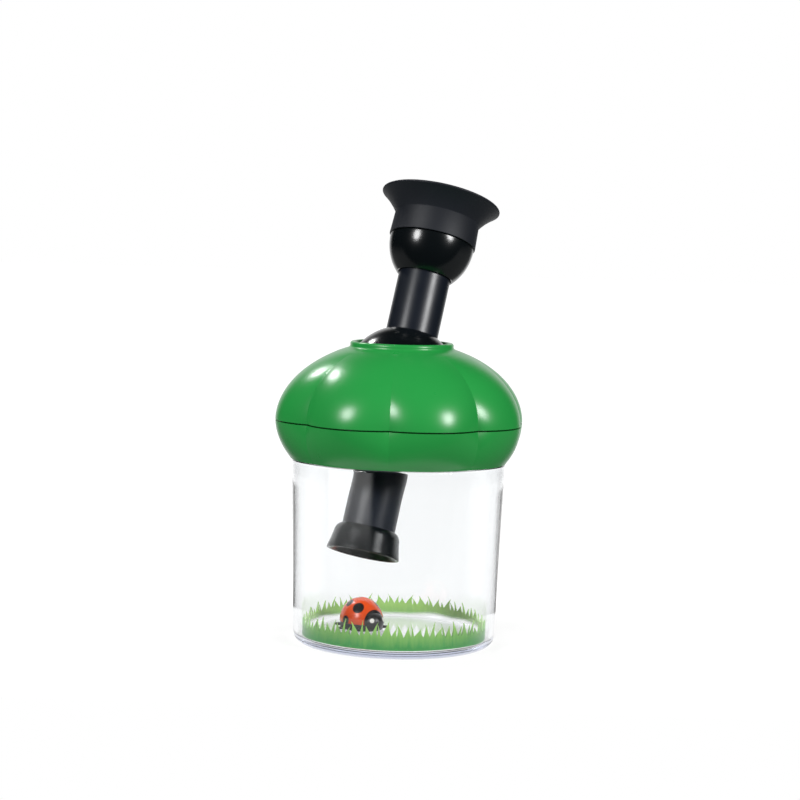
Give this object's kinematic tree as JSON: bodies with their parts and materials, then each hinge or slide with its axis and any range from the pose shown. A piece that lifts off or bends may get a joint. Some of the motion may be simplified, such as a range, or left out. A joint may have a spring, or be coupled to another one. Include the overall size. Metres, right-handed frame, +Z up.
{
  "type": "bug viewer",
  "caption": "Clear jar under a lobed cap whose collar holds a swivelling ball, with a viewing scope that slides through the ball to look at a bug on the jar's floor.",
  "frame": {"origin": "centre of the jar's flat underside", "axes": "+Z up along the jar's axis, -Y towards the front, +X to the right seen from the front"},
  "size_m": [0.0994, 0.0994, 0.1878],
  "materials": {
    "clear_styrene": "clear polished",
    "grass_print": "printed film",
    "ladybird_red": "gloss with black spots",
    "ladybird_black": "gloss",
    "green_abs": "gloss moulded",
    "gloss_black": "high gloss",
    "black_abs": "satin",
    "black_rubber": "matt",
    "clear_acrylic": "optical",
    "nylon": "moulded",
    "zinc_steel": "zinc plated"
  },
  "bodies": {
    "jar": {"jar": "clear_styrene", "grass_insert": "grass_print", "ladybird_wing_cases": "ladybird_red", "ladybird_body": "ladybird_black"},
    "cap": {"cap_lower_ring": "green_abs", "cap_dome": "green_abs", "socket_retainer": "black_abs", "cap_screw_1": "zinc_steel", "cap_screw_2": "zinc_steel", "cap_screw_3": "zinc_steel", "cap_screw_4": "zinc_steel", "retainer_screw_1": "zinc_steel", "retainer_screw_2": "zinc_steel", "retainer_screw_3": "zinc_steel", "retainer_screw_4": "zinc_steel"},
    "swivel_seat": {"ball_seat_ring": "nylon"},
    "ball": {"ball_upper_half": "gloss_black", "ball_lower_half": "gloss_black", "tube_friction_ring": "black_rubber"},
    "scope": {"scope_tube": "black_abs", "eyepiece_housing": "gloss_black", "eyecup": "black_rubber", "eyepiece_lens": "clear_acrylic", "eyepiece_lens_ring": "black_abs", "field_stop": "black_abs", "objective_hood": "black_abs", "objective_lens_ring": "black_abs", "objective_lens": "clear_acrylic"}
  },
  "joints": [
    {"name": "lid_lift", "type": "slide", "parent": "jar", "child": "cap", "axis": [0, 0, 1], "range_m": [0, 0.06]},
    {"name": "scope_swivel", "type": "hinge", "parent": "cap", "child": "swivel_seat", "pos_m": [0, 0, 0.1055], "axis": [0, 0, 1], "continuous": true},
    {"name": "scope_tilt", "type": "hinge", "parent": "swivel_seat", "child": "ball", "pos_m": [0, 0, 0.1055], "axis": [-0.8387, 0.5446, 0], "range_deg": [-39.4, 0]},
    {"name": "focus_slide", "type": "slide", "parent": "ball", "child": "scope", "axis": [0.1836, 0.2827, 0.9415], "range_m": [-0.003, 0.03]}
  ]
}
